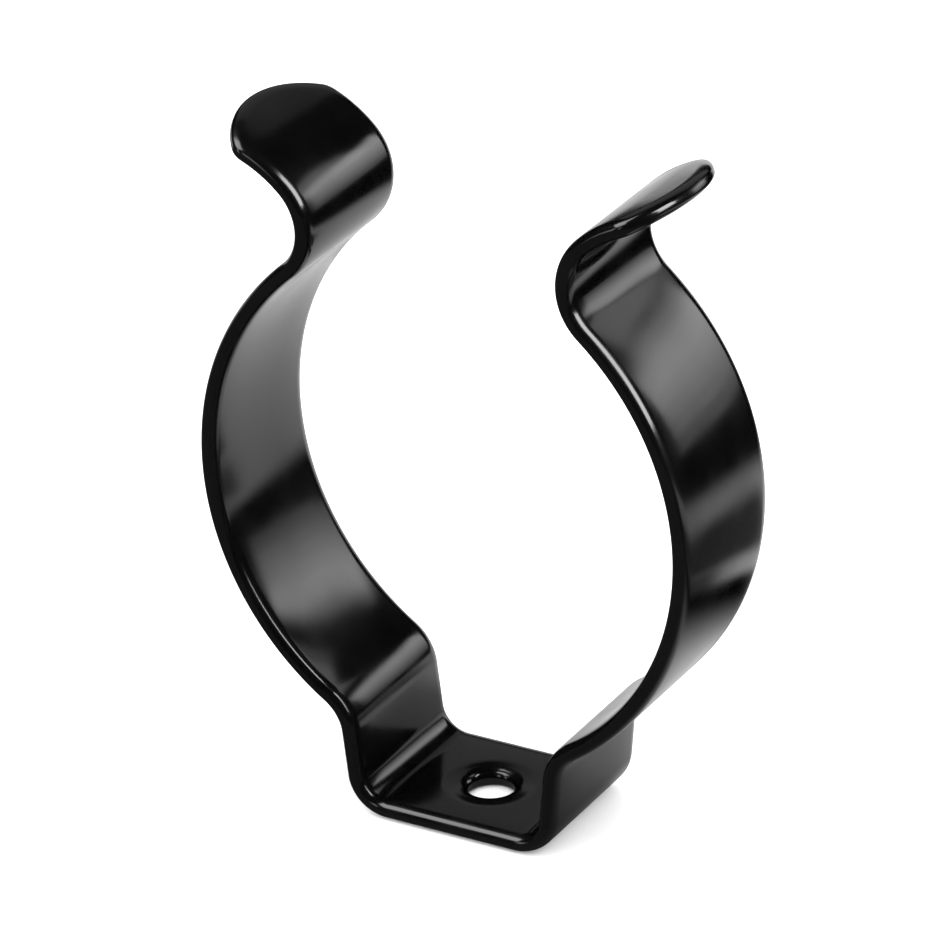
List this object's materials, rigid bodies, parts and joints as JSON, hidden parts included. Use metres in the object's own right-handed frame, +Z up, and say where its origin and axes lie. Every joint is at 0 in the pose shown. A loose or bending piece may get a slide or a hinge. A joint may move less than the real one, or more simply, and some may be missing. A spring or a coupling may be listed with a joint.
{
  "type": "spring tool clip",
  "caption": "Spring clip bent from one strip of black coated steel: a flat foot with a screw hole, two curved arms that close round a handle, and flared lips that lead it in.",
  "frame": {"origin": "middle of the foot's underside, on the axis of the screw hole", "axes": "+Z up from the foot towards the mouth, X across the two arms, Y along the strip's width and along a held handle"},
  "size_m": [0.051, 0.0164, 0.0676],
  "materials": {
    "coat": "smooth gloss black dip coat over spring steel"
  },
  "bodies": {
    "root": {"clip": "coat"}
  },
  "joints": []
}
